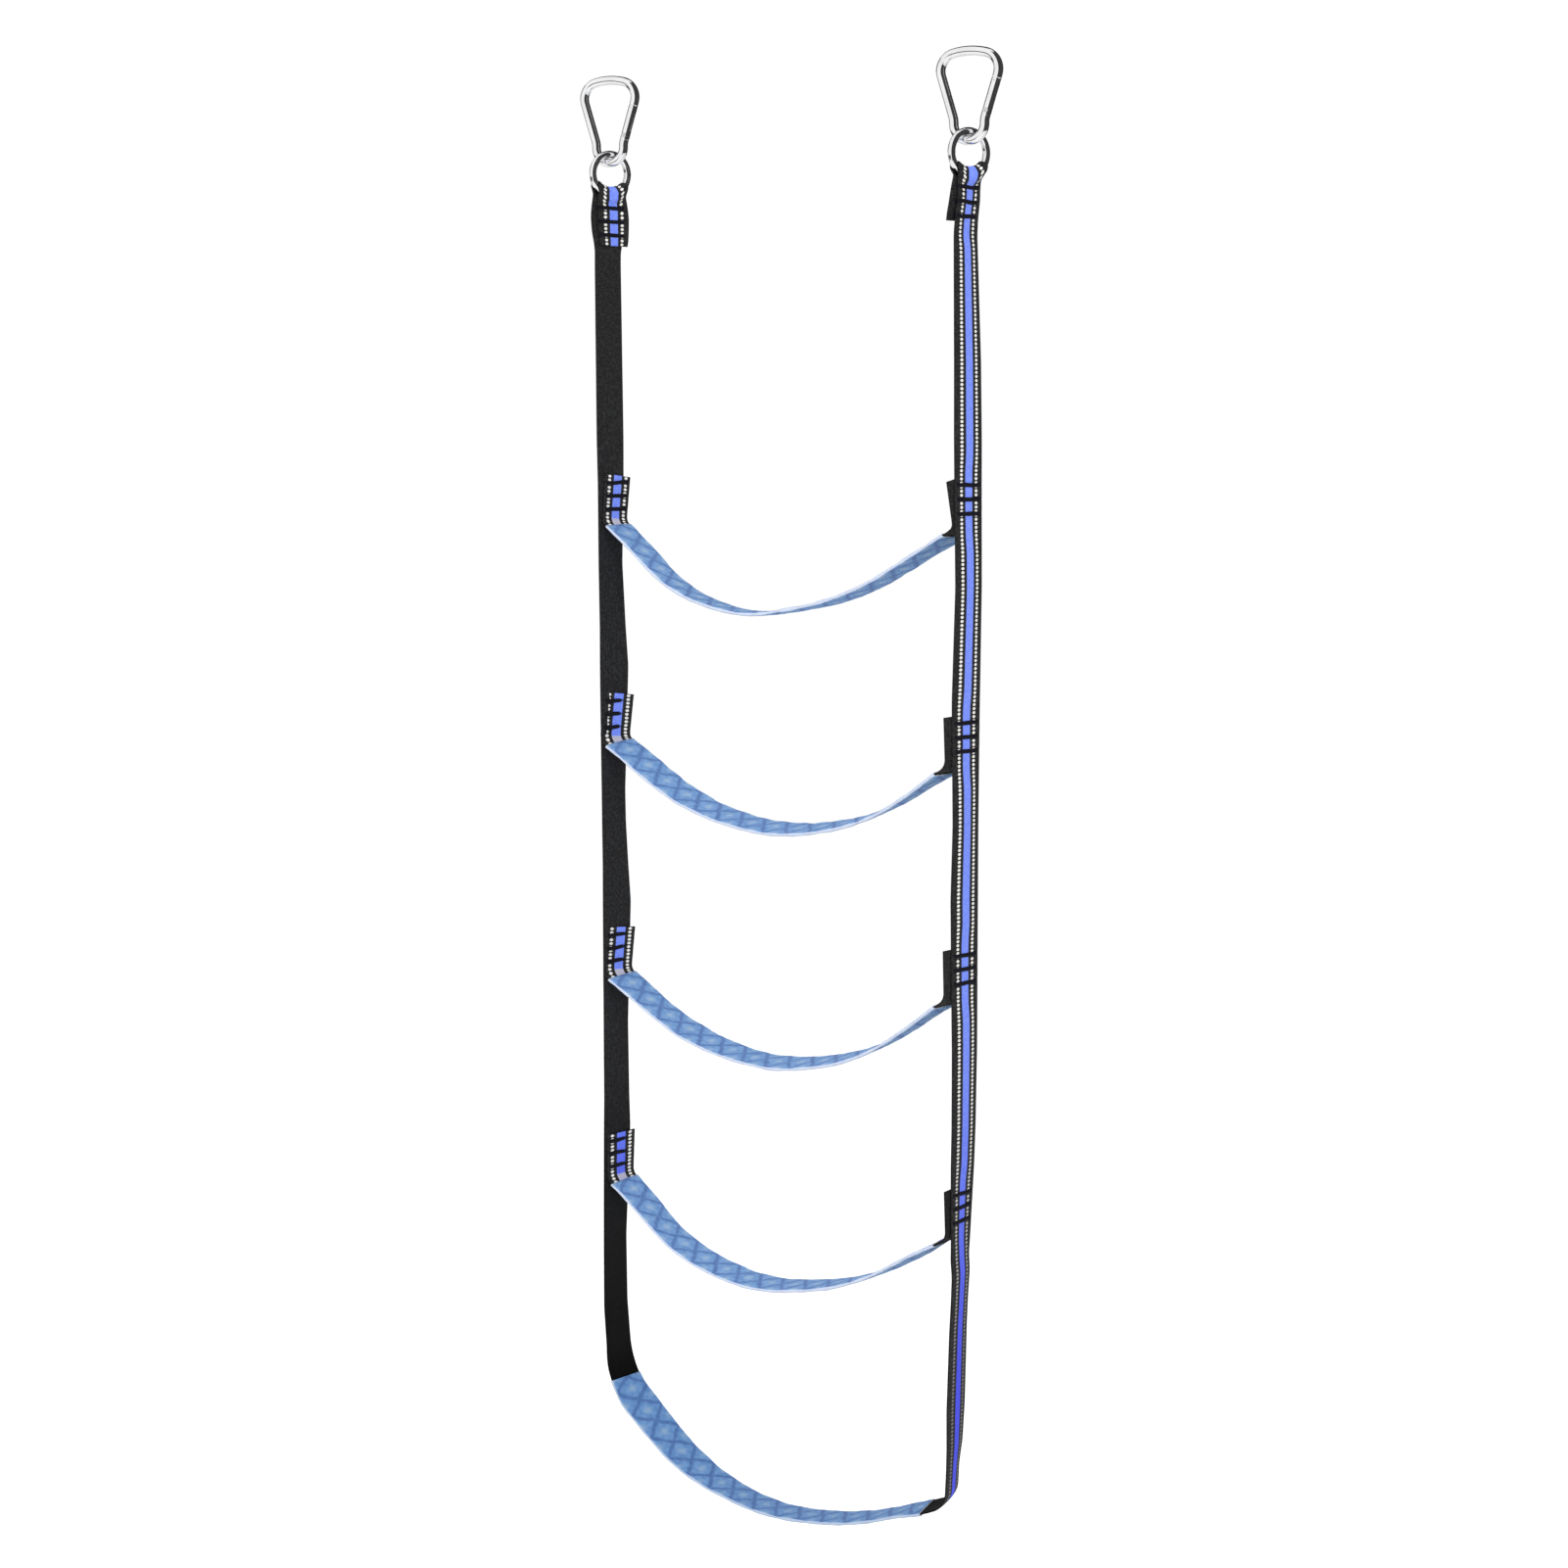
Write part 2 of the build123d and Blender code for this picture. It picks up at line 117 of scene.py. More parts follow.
# shift of each side strap along X, by height
strap_shifts = {
    "left": ((-0.126, 0), (-0.16, -3), (-0.188, -3.5), (-0.44, -1), (-0.53, -2),
             (-0.645, 2.5), (-0.788, 0.5), (-0.824, 1), (-0.915, 4.5), (-1.056, 2),
             (-1.176, 3), (-1.307, -1), (-1.383, -0.5), (-1.43, 3.5), (-1.455, 3)),
    "right": ((-0.126, 0), (-0.145, -2), (-0.18, -4.5), (-0.31, -1), (-0.542, 2),
              (-0.66, -0.5), (-0.79, 0), (-0.87, -1), (-1.03, 0.5), (-1.11, 0),
              (-1.253, -3.5), (-1.27, -1.5), (-1.33, -1.5), (-1.459, 1.5), (-1.485, 0.5)),
}
# shift along Y of a loop's two layers, by height
tail_slides = {
    "left": ((-0.114, 2), (-0.126, 0), (-0.134, 4), (-0.173, 8)),
    "right": ((-0.114, 1), (-0.126, -1), (-0.134, -8), (-0.15, -6.5), (-0.162, -8)),
}
leg_slides = {
    "left": ((-0.114, -1), (-0.126, -5), (-0.134, -5), (-0.173, 0.5), (-0.2, 0)),
    "right": ((-0.114, 2.5), (-0.126, 0), (-0.145, 2), (-0.162, 0)),
}
tail_flare = 0.0035  # how far the right tail's free edge stands off
flare_depth = 0.04  # below the wire, where it stands off in full
strap_cups = {"left": 0.0, "right": 0.0016}  # how far a free strap's middle stands over its edges
tail_free = (-0.178, -0.198)  # heights between which a strap comes free, under its sewn tail
tab_free = 0.03  # above and below a tab, over which it comes free there
# from a side strap's middle: where none of its turn and shift is felt, and where all of it is
strap_pull = (0.0625, 0.0125)
tab_pull = (0.099, 0.009)  # the same for a tab's shift, from the middle of the tab
# roll of each rung about its own length, by place along X, and how far its knots are rounded
rung_blur = 0.012
bottom_rung_blur = 0.006
rung_rolls = (
    ((-0.226, 0), (-0.18, -5), (-0.07, -3.5), (-0.03, 0), (0.1, 0), (0.15, 1.5), (0.2, 0)),
    ((-0.226, 7), (-0.04, 6.5), (0, 9), (0.12, 9), (0.2, 6), (0.226, 0)),
    ((-0.226, 4), (-0.18, 0), (-0.12, 4), (-0.04, 3), (0, 7), (0.1, 8), (0.15, 5), (0.2, 5),
     (0.226, 0)),
    ((-0.226, 4), (-0.185, -3), (-0.12, 1), (0, 3), (0.1, 1.5), (0.2, -3), (0.226, 0)),
    ((-0.235, 0), (-0.21, 12), (-0.15, 8), (-0.06, -3), (0.02, -2), (0.15, 3), (0.2, 3),
     (0.226, 0)),
)
# shift along Y of each rung's tabs, in millimetres, at the tab's top and at its foot
tab_shifts = {
    "left": ((10, 4.5), (6, 0), (5, 0), (4.5, 5)),
    "right": ((-11.5, -1), (-11.5, -10), (-11.5, -11), (-11, -9.5)),
}
sleeve_setbacks = (0.0055, 0.013)  # left and right; a left sleeve has slid towards its tab

# ---- the webbing's section ----
# from an edge to near the middle: share of the half width, and of the thickness there
half_profile = ((1, 0.55), (0.975, 0.55), (0.93, 1.06), (0.85, 1.06), (0.7, 1), (0.5, 1), (0.25, 1))
profile = [(-place, share) for place, share in half_profile] + [(0, 1), *half_profile[::-1]]
bar_pinch = 0.3  # share of the thickness that a bar tack takes away
bar_pinch_reach = 0.003
unevenness = 0.03  # share of the thickness, in slow waves
uneven_along, uneven_across, uneven_bend = 0.013, 0.02, 4

# ---- sleeves: flattened tubes round the webbing ----
face_half_width = 0.0222
face_height = 0.0018  # of a face's edges over the webbing's middle surface
face_crown = 0.0004  # of its middle over its edges
edge_middle = 0.0226  # of a folded edge, from the tube's middle
edge_half_width = 0.0010
edge_half_height = 0.0015
edge_spokes = 60  # degrees up and down that a folded edge's points reach
face_points, edge_points = 15, 5
lining_share = 0.62  # of the outside's height, at which the inside lies
lining_most = 0.00125  # height of the inside
lining_width_share = 0.982
lining_crease_share = 0.5
hem_length = 0.0028
hem_height = 0.0002
long_creases = (0.00022, 0.08, 0.035)  # height, pitch across and pitch along
short_creases = (0.00012, 0.03, 0.014)
edge_waves = (0.0004, 1, 0.05)  # of the folded edges, in and out
edge_waves_from = 0.015  # from the tube's middle
crease_turn = 6.28  # radians in a wave, near enough for waves that chance picks
crease_start = 6.3  # radians, the most that a wave's start is put off

# ---- bar tacks: zigzag threads ----
thread_radius = 0.0005
thread_crown = 1.1  # its height outwards, over its radius
threads_per_bar = 76
thread_proud = 0.00012
thread_slant = 0.00045
bar_half_height = 0.00215
bar_wave = 7  # radians of a wave in a bar's length
bar_drift = 0.0004  # the most that a bar wavers, by chance
thread_wander = 0.00012  # the most that a thread lies too high or too low
thread_uneven = 0.0001  # the most that half of a thread is too long or too short
# from a thread's foot to its tip: share of its half height, and of its radius that it dips in
thread_bends = ((-1, 0.6), (-0.5, 0), (0.5, 0), (1, 0.6))
bar_probe = 0.001  # half of the short line whose direction a bar takes

ring_low, ring_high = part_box("left_ring")
ring_z = (ring_low.z + ring_high.z) / 2
ring_radius = (ring_high.z - ring_low.z) / 2 - ring_wire_radius
ring_x = abs(ring_low.x + ring_high.x) / 2
half_webbing = webbing_thickness / 2
half_spacing = ring_x + half_webbing
tab_x = half_spacing - webbing_thickness
wire_z = ring_z - ring_radius
columns = np.array([place for place, _ in profile]) * webbing_width / 2
middle_column = len(columns) // 2
sides = {"left": -1, "right": 1}
chance = np.random.RandomState(7)


# ---------------------------------------------------------------- routes in the X-Z plane
def ramp(value, zero, one):
    """Smooth change from 0 where value is zero to 1 where it is one. Either may be the greater."""
    share = np.clip((value - zero) / (one - zero), 0, 1)
    return share * share * (3 - 2 * share)


def curve(places, knots, blur=0.005):
    """A line through a few (place, value) knots, its corners rounded over blur to each side."""
    known, values = zip(*sorted(knots))
    shifts = np.linspace(-blur, blur, curve_samples)
    return sum(np.interp(places + shift, known, values) for shift in shifts) / len(shifts)


def sag_corners(left, right, low):
    """Corners of a hanging rung between its two ends, as in the CAD."""
    corner = np.array(low) - (0, low_corner_drop)
    left, right = np.array(left), np.array(right)
    quarters = []
    for end in (left, right):
        x = corner[0] + quarter_reach * (end[0] - corner[0])
        z = end[1] + quarter_drop * (corner[1] - end[1])
        quarters.append(np.array((x, z)))
    return [left, quarters[0], corner, quarters[1], right]


def hung(left, right, low):
    """Corners of a rung whose arcs come down to the point low."""
    corners = sag_corners(left, right, low)
    short = low[1] - route(corners, bend_radii(corners))[:, 1].min()
    return sag_corners(left, right, (low[0], low[1] + short))


def half_turns(corners):
    """Half the change of direction at each inner corner, with the two directions."""
    turns = []
    for before, corner, after in zip(corners, corners[1:], corners[2:]):
        arriving = (corner - before) / np.linalg.norm(corner - before)
        leaving = (after - corner) / np.linalg.norm(after - corner)
        turns.append((math.acos(np.clip(arriving @ leaving, -1, 1)) / 2, arriving, leaving))
    return turns


def bend_radii(corners):
    """Radius of the arc at each inner corner, for arcs that take a set share of their runs."""
    radii = []
    for index, (half, _, _) in enumerate(half_turns(corners)):
        runs = [np.linalg.norm(corners[index + i + 1] - corners[index + i]) for i in (0, 1)]
        radii.append(bend_share * min(runs) / math.tan(half))
    return radii


def route(corners, radii):
    """Points every row_step along a line of straight runs and arcs."""
    points = [corners[0]]
    for corner, radius, (half, arriving, leaving) in zip(corners[1:], radii, half_turns(corners)):
        reach = radius * math.tan(half)
        inward = (leaving - arriving) / np.linalg.norm(leaving - arriving)
        centre = corner + inward * radius / math.cos(half)
        start, end = corner - arriving * reach, corner + leaving * reach
        for share in np.linspace(0, 1, arc_points):
            spoke = (start - centre) * (1 - share) + (end - centre) * share
            points.append(centre + spoke * radius / np.linalg.norm(spoke))
    points.append(corners[-1])
    return evenly(np.array(points))


def evenly(points):
    """The same line with its points row_step apart."""
    along = length_along(points)
    wanted = np.linspace(0, along[-1], int(along[-1] / row_step) + 1)
    return np.stack([np.interp(wanted, along, axis) for axis in points.T], axis=1)


def length_along(points):
    lengths = np.linalg.norm(np.diff(points, axis=0), axis=1)
    return np.concatenate([[0], np.cumsum(lengths)])


def between(points, setbacks):
    """First and last of the points that lie so far along from a route's two ends."""
    along = length_along(points)
    first = np.searchsorted(along, setbacks[0])
    return first, np.searchsorted(along, along[-1] - setbacks[1])


def strap_x(side, z):
    """Where the middle of a side strap is, at heights z."""
    drawn_in = right_bend[0] * np.clip(
        (right_lean_start - z) / (right_lean_start - right_bend[1]), 0, 1)
    return np.where(side < 0, -half_spacing, half_spacing - drawn_in)


def rung_feet(number):
    """The two corners where a rung strap leaves the side straps."""
    feet = []
    for word, side in sides.items():
        top_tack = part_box(f"{word}_tacks_{number}")[1].z - tack_height / 2
        feet.append((side * tab_x, top_tack + first_tack - tab_length))
    return feet


def rung_corners(number):
    low_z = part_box(f"rung_strap_{number}")[0].z + half_webbing
    return hung(*rung_feet(number), (rung_low_offsets[number - 1], low_z))


def bottom_corners():
    low_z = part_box("main_strap")[0].z + half_webbing
    return hung((-half_spacing, left_bend[1]), (half_spacing - right_bend[0], right_bend[1]),
                (bottom_low_offset, low_z))


def rung_route(number):
    span = rung_corners(number)
    tops = [end + (0, tab_length) for end in (span[0], span[-1])]
    return route([tops[0], *span, tops[1]], [tab_bend_radius, *bend_radii(span), tab_bend_radius])


def strap_route():
    span = bottom_corners()
    corners = [np.array((-half_spacing, strap_top_z)), *span,
               np.array((half_spacing, right_lean_start)), np.array((half_spacing, strap_top_z))]
    return route(corners, [left_bend[2], *bend_radii(span), right_bend[2], right_lean_radius])


# ---------------------------------------------------------------- how the cloth hangs
def free_share(word, z):
    """1 where a side strap hangs free and 0 where a tab or its own tail is sewn to it."""
    share = ramp(z, *tail_free)
    for number in upper_rungs:
        middle = rung_feet(number)[sides[word] > 0][1] + tab_length / 2
        share = share * ramp(np.abs(z - middle) - tab_length / 2, 0, tab_free)
    return share


def settled(points, cupped=False):
    """Moves points on or near a side strap to where its turn and lean put them."""
    points = points.copy()
    for word, side in sides.items():
        z = points[..., 2]
        middle = strap_x(side, z)
        near = ramp(np.abs(points[..., 0] - middle), *strap_pull)
        angle = np.radians(curve(z, strap_turns[word])) * near
        x, y = points[..., 0] - middle, points[..., 1].copy()
        if cupped:
            cup = strap_cups[word] * (1 - (y / columns[-1]) ** 2)
            x = x + side * cup * free_share(word, z) * near
        shift = curve(z, strap_shifts[word]) / 1000 * near
        points[..., 0] = middle + shift + x * np.cos(angle) - y * np.sin(angle)
        points[..., 1] = x * np.sin(angle) + y * np.cos(angle)
    return points


def tab_sideways(number, points):
    """How far each point of a rung's route lies to the side, because its tabs are sewn askew."""
    x, z = points.T
    total = np.zeros(len(points))
    for word, side in sides.items():
        top, foot = tab_shifts[word][number - 1]
        foot_z = rung_feet(number)[side > 0][1]
        up = np.clip((z - foot_z) / tab_length, 0, 1)
        near = ramp(np.abs(side * tab_x - x), *tab_pull)
        total += (foot + (top - foot) * up) / 1000 * near
    return total


def flat_rows(points, sideways=0.0, rolls=None):
    """A flat grid round a route in the X-Z plane, its width along Y but for its roll there."""
    centre = np.stack([points[:, 0], np.zeros(len(points)) + sideways, points[:, 1]], axis=1)
    along = np.gradient(centre, axis=0)
    along /= np.linalg.norm(along, axis=1, keepdims=True)
    across = np.array((0.0, 1.0, 0.0)) - along * along[:, 1:2]
    across /= np.linalg.norm(across, axis=1, keepdims=True)
    if rolls is not None:
        away = np.cross(along, across)
        angle = np.radians(rolls)[:, None]
        across = across * np.cos(angle) + away * np.sin(angle)
    return centre[:, None] + across[:, None] * columns[None, :, None]


def rung_rows(number, points):
    rolls = curve(points[:, 0], rung_rolls[number - 1], rung_blur)
    return settled(flat_rows(points, tab_sideways(number, points), rolls))


# ---------------------------------------------------------------- side straps and bottom rung
def loop_row(word, depth, out):
    """One row of a loop's layer, that far below the ring's wire. out is its distance from the
    loop's middle plane, towards the inside of the ladder, and is positive for the tail."""
    side = sides[word]
    height = wire_z - depth
    slides = tail_slides if out > 0 else leg_slides
    slide = curve(height, slides[word]) / 1000
    flat = ramp(depth, 0, curl_depth)
    spoke = (columns + slide) / ring_radius
    y = ring_radius * np.sin(spoke)
    y += (columns + slide - y) * flat
    z = height + ring_radius * (1 - np.cos(spoke)) * (1 - flat)
    away = np.full_like(columns, -side * out)
    if out < 0:
        cup = strap_cups[word] * (1 - (columns / columns[-1]) ** 2)
        away += side * cup * free_share(word, height)
    elif word == "right":
        away -= tail_flare * ramp(depth, 0, flare_depth) * ramp(columns, 0, columns[0])
    return placed(word, np.stack([away, y, z], axis=-1), height)


def fold_row(word, angle):
    """One row of the fold over the ring's wire, from 90 degrees on the tail's side to -90."""
    out = ring_wire_radius + loop_gap + half_webbing
    lean = (math.sin(angle) + 1) / 2
    slides = [curve(wire_z, table[word]) / 1000 for table in (leg_slides, tail_slides)]
    spoke = (columns + slides[0] * (1 - lean) + slides[1] * lean) / ring_radius
    radius = ring_radius - out * math.cos(angle)
    lift = fold_lift * math.cos(angle) * np.clip(1 - (spoke / fold_reach) ** 2, 0, 1)
    row = np.stack([np.full_like(columns, -sides[word] * out * math.sin(angle)),
                    radius * np.sin(spoke), ring_z - radius * np.cos(spoke) + lift], axis=-1)
    return placed(word, row, wire_z)


def placed(word, row, height):
    """A row about a ring's middle, turned and moved to where the strap is at that height."""
    angle = math.radians(curve(height, strap_turns[word]))
    shift = curve(height, strap_shifts[word]) / 1000
    x, y, z = row.T
    return off_the_ring(word, np.stack([
        sides[word] * ring_x + shift + x * math.cos(angle) - y * math.sin(angle),
        x * math.sin(angle) + y * math.cos(angle), z], axis=-1))


def off_the_ring(word, row):
    """The row, with each point that is too near the ring's wire pushed straight away from it."""
    turn = math.radians(ring_turn)
    across = np.array([math.sin(turn), math.cos(turn), 0.0])
    middle = np.array([sides[word] * ring_x, 0.0, ring_z])
    sideways = (row - middle) @ across
    spokes = np.outer(sideways, across)
    spokes[:, 2] = row[:, 2] - ring_z
    wire = middle + ring_radius * spokes / np.linalg.norm(spokes, axis=1, keepdims=True)
    gap = np.linalg.norm(row - wire, axis=1)
    least = ring_wire_radius + half_webbing + wire_clearance
    return wire + (row - wire) * np.maximum(least / gap, 1)[:, None]


def layer_out(depth):
    """Distance of a loop's layer from the loop's middle plane, that far below the wire."""
    out = ring_wire_radius + loop_gap + half_webbing
    return out + (half_webbing - out) * ramp(depth, *layers_close)


def loop_rows(word):
    """A side strap's upper end, from the tail's raw edge to the top of the plain strap."""
    tail_depths = np.arange(wire_z - tail_ends[word], 0, -row_step)
    leg_depths = np.arange(row_step, wire_z - strap_top_z, row_step)
    rows = [loop_row(word, depth, layer_out(depth)) for depth in tail_depths]
    rows += [fold_row(word, angle) for angle in np.linspace(math.pi / 2, -math.pi / 2, fold_rows)]
    rows += [loop_row(word, depth, -layer_out(depth)) for depth in leg_depths]
    return np.array(rows)


def strap_rows(points):
    rolls = curve(points[:, 0], rung_rolls[bottom_rung - 1], bottom_rung_blur)
    return settled(flat_rows(points, rolls=rolls), cupped=True)


def side_strap_grid():
    middle = strap_rows(strap_route())
    return np.concatenate([loop_rows("left"), middle, loop_rows("right")[::-1]])


# ---------------------------------------------------------------- meshes
def linked(name, data):
    """A new object in the scene that shows the data."""
    thing = bpy.data.objects.new(name, data)
    bpy.context.scene.collection.objects.link(thing)
    return thing


def smooth_mesh(name, vertices, faces, materials):
    """A mesh with smooth shading, from arrays of places and of vertex numbers."""
    mesh = bpy.data.meshes.new(name)
    mesh.from_pydata(vertices.tolist(), [], faces.tolist())
    mesh.polygons.foreach_set("use_smooth", np.ones(len(faces), bool))
    for material in materials:
        mesh.materials.append(material)
    return mesh


def cloth_object(name, vertices, faces, uv, slots, materials):
    """A cloth's mesh object. uv is one (across, along) in metres for each face corner, which the
    materials get in millimetres, and slots is the number of each face's material."""
    mesh = smooth_mesh(name, vertices, faces, materials)
    mesh.polygons.foreach_set("material_index", slots.astype(np.int32))
    layer = mesh.uv_layers.new(name="cloth")
    layer.data.foreach_set("uv", (uv * 1000).astype(np.float32).ravel())
    mesh.update()
    return linked(name, mesh)


def directions(grid):
    """Unit directions along a grid of points, across it, and away from its upper face."""
    along = np.gradient(grid, axis=0)
    across = np.gradient(grid, axis=1)
    away = np.cross(along, across)
    return [d / np.linalg.norm(d, axis=-1, keepdims=True) for d in (along, across, away)]


def tube_faces(rows, around):
    """Vertex numbers of a tube, by row and by place round it, and its faces."""
    index = np.arange(rows * around).reshape(rows, around)
    there = np.roll(index, -1, axis=1)
    faces = np.stack([index[:-1], there[:-1], there[1:], index[1:]], axis=-1)
    return index, faces.reshape(-1, 4)


def webbing(name, grid, striped_up, bars, materials):
    """A band of webbing round the surface that grid gives, row by row, pinched by its bars. Its
    first material is for its striped face. striped_up says that this is the upper face, on the
    side that directions calls away."""
    rows, count = grid.shape[:2]
    away = directions(grid)[2]
    along = length_along(grid[:, middle_column])
    pinch = np.ones(rows)
    for middle, *_ in bars:
        apart = np.linalg.norm(grid[:, middle_column] - middle, axis=1)
        pinch -= bar_pinch * np.exp(-(apart / bar_pinch_reach) ** 2)
    bend = uneven_bend * np.sin(columns[None] / uneven_across)
    slow = 1 + unevenness * np.sin(along[:, None] / uneven_along + bend)
    shares = np.array([share for _, share in profile])
    half = half_webbing * shares[None] * pinch[:, None] * slow
    upper = grid + away * half[..., None]
    lower = grid - away * half[..., None]
    vertices = np.concatenate([upper, lower[:, ::-1]], axis=1)
    index, long_faces = tube_faces(rows, 2 * count)
    ends = []
    for row, flip in ((0, True), (rows - 1, False)):
        around = index[row]
        for column in range(count - 1):
            quad = [*around[column:column + 2], around[-2 - column], around[-1 - column]]
            ends.append(quad[::-1] if flip else quad)
    faces = np.concatenate([long_faces, np.array(ends)])

    across = np.concatenate([columns, columns[::-1]])
    places = np.stack(np.broadcast_arrays(across[None], along[:, None]), axis=-1).reshape(-1, 2)
    uv = places[faces]
    uv[len(long_faces):] = 0
    slots = np.ones(2 * count)
    first_striped = 0 if striped_up else count
    slots[first_striped:first_striped + count - 1] = 0
    slots = np.concatenate([np.tile(slots, rows - 1), np.ones(len(ends))])
    return cloth_object(name, vertices.reshape(-1, 3), faces, uv, slots, materials)


def creases(across, along, size, across_pitch, along_pitch, count=7):
    """Soft random heights over a cloth, from a few waves in scattered directions."""
    total = np.zeros(np.broadcast(across, along).shape)
    for _ in range(count):
        along_turns, across_turns = crease_turn * chance.uniform(0.5, 1.5, 2)
        start = chance.uniform(0, crease_start)
        lean = chance.choice((-1, 1))
        total += np.sin(along / along_pitch * along_turns
                        + lean * across / across_pitch * across_turns + start)
    return size * total / math.sqrt(count)


def sleeve_section():
    """Places across and heights of a sleeve's outside, once round: a face, a folded edge, the
    other face and the other edge. Each is a row."""
    face = np.linspace(-face_half_width, face_half_width, face_points)
    crown = face_height + face_crown * np.cos(face / face_half_width * math.pi / 2)
    spokes = np.radians(np.linspace(edge_spokes, -edge_spokes, edge_points))
    edge = edge_middle + edge_half_width * np.cos(spokes)
    rise = edge_half_height * np.sin(spokes)
    wide = np.concatenate([face, edge, face[::-1], -edge[::-1]])
    return wide[None], np.concatenate([crown, rise, -crown[::-1], rise[::-1]])[None]


def sleeve(name, grid, materials):
    """A flattened tube of cloth round the webbing whose middle surface grid gives, and its length.
    Its materials are for the cloth and for its two hems."""
    grid = grid[::2]
    _, across, away = [lines[:, middle_column, None] for lines in directions(grid)]
    centre = grid[:, middle_column, None]
    length = length_along(centre[:, 0])[:, None]
    wide, height = sleeve_section()
    crease = creases(wide, length, *long_creases) + creases(wide, length, *short_creases)
    wander = creases(0 * wide, length, *edge_waves) * np.sign(wide)
    wander *= np.abs(wide) > edge_waves_from
    hem = np.exp(-(length / hem_length) ** 2) + np.exp(-((length[-1] - length) / hem_length) ** 2)
    raised = np.sign(height) * (crease + hem_height * hem)
    inner_height = np.sign(height) * np.minimum(np.abs(height) * lining_share, lining_most)
    outer = (centre + across * (wide + wander)[..., None]
             + away * (height + raised)[..., None])
    inner = (centre + across * (wide * lining_width_share + wander)[..., None]
             + away * (inner_height + lining_crease_share * raised)[..., None])

    rows, around = outer.shape[:2]
    index, shell = tube_faces(rows, around)
    lining = rows * around
    rims = []
    for row, turned in ((0, [0, 3, 2, 1]), (-1, [0, 1, 2, 3])):
        here, there = index[row], np.roll(index[row], -1)
        rims.append(np.stack([here, there, there + lining, here + lining], axis=-1)[:, turned])
    faces = np.concatenate([shell, (shell + lining)[:, ::-1], *rims])
    vertices = np.concatenate([outer.reshape(-1, 3), inner.reshape(-1, 3)])
    places = np.stack(np.broadcast_arrays(wide, length), axis=-1).reshape(-1, 2)
    slots = np.zeros(len(faces))
    slots[2 * len(shell):] = 1
    piece = cloth_object(name, vertices, faces, np.tile(places, (2, 1))[faces], slots, materials)
    return piece, length[-1, 0]


# ---------------------------------------------------------------- bar tacks
def tack_object(name, bars, material):
    """Zigzag threads on both faces of two sewn layers. Each bar is (middle between the layers,
    and its directions across, up and away)."""
    vertices, faces = [], []
    for middle, across, up, away in bars:
        for outward in (-away, away):
            drift = chance.uniform(-bar_drift, bar_drift)
            for thread in range(threads_per_bar):
                share = (thread + 0.5) / threads_per_bar - 0.5
                rise = drift * math.sin(bar_wave * share)
                rise += chance.uniform(-thread_wander, thread_wander)
                base = (middle + across * share * tack_length
                        + outward * (webbing_thickness + thread_proud) + up * rise)
                slant = across * thread_slant * (1 if thread % 2 else -1)
                tall = up * (bar_half_height + chance.uniform(-thread_uneven, thread_uneven))
                faces += thread_faces(len(vertices))
                for end, dip in thread_bends:
                    spot = base + (tall + slant) * end - outward * dip * thread_radius
                    section = (-across, thread_crown * outward, across, -outward)
                    vertices += [spot + spoke * thread_radius for spoke in section]
    return linked(name, smooth_mesh(name, np.array(vertices), np.array(faces), [material]))


def thread_faces(first):
    """Faces of a closed square tube through a thread's bends. first is its first vertex."""
    last = first + 4 * (len(thread_bends) - 1)
    faces = []
    for bend in range(first, last, 4):
        for here, there in ((0, 1), (1, 2), (2, 3), (3, 0)):
            faces.append([bend + here, bend + there, bend + there + 4, bend + here + 4])
    return faces + [[first + 3, first + 2, first + 1, first], [last, last + 1, last + 2, last + 3]]


def unit(vector):
    return vector / np.linalg.norm(vector)


def tab_bars(number, word):
    """The bars of one tab, through the tab and the side strap that it is sewn to. Those of a left
    tab follow the tab, and those of a right one are centred on the strap, which shows there."""
    side = sides[word]
    foot_z = rung_feet(number)[side > 0][1]
    top, foot = tab_shifts[word][number - 1]
    bars = []
    for row in range(tack_count):
        z = foot_z + tab_length - first_tack - row * tack_pitch
        askew = (foot + (top - foot) * (z - foot_z) / tab_length) / 1000
        y = askew if side < 0 else 0.0
        x = side * (half_spacing - half_webbing)
        bars.append(bar(settled(np.array([[x, y - bar_probe, z], [x, y + bar_probe, z]]))))
    return bars


def loop_bars(word):
    """The bars of one loop, through its two layers."""
    top_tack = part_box(f"{word}_loop_tacks")[1].z - tack_height / 2 + loop_bar_lifts[word]
    bars = []
    for row in range(tack_count):
        height = top_tack - row * tack_pitch
        slides = [curve(height, table[word]) / 1000 for table in (leg_slides, tail_slides)]
        y = sum(slides) / 2
        ends = np.array([[0, y - bar_probe, height], [0, y + bar_probe, height]])
        bars.append(bar(placed(word, ends, height)))
    return bars


def bar(ends):
    """A bar's middle, with its directions across, up and away from the webbing."""
    across = unit(ends[1] - ends[0])
    away = unit(np.cross(across, (0, 0, 1)))
    return ends.mean(axis=0), across, np.cross(away, across), away


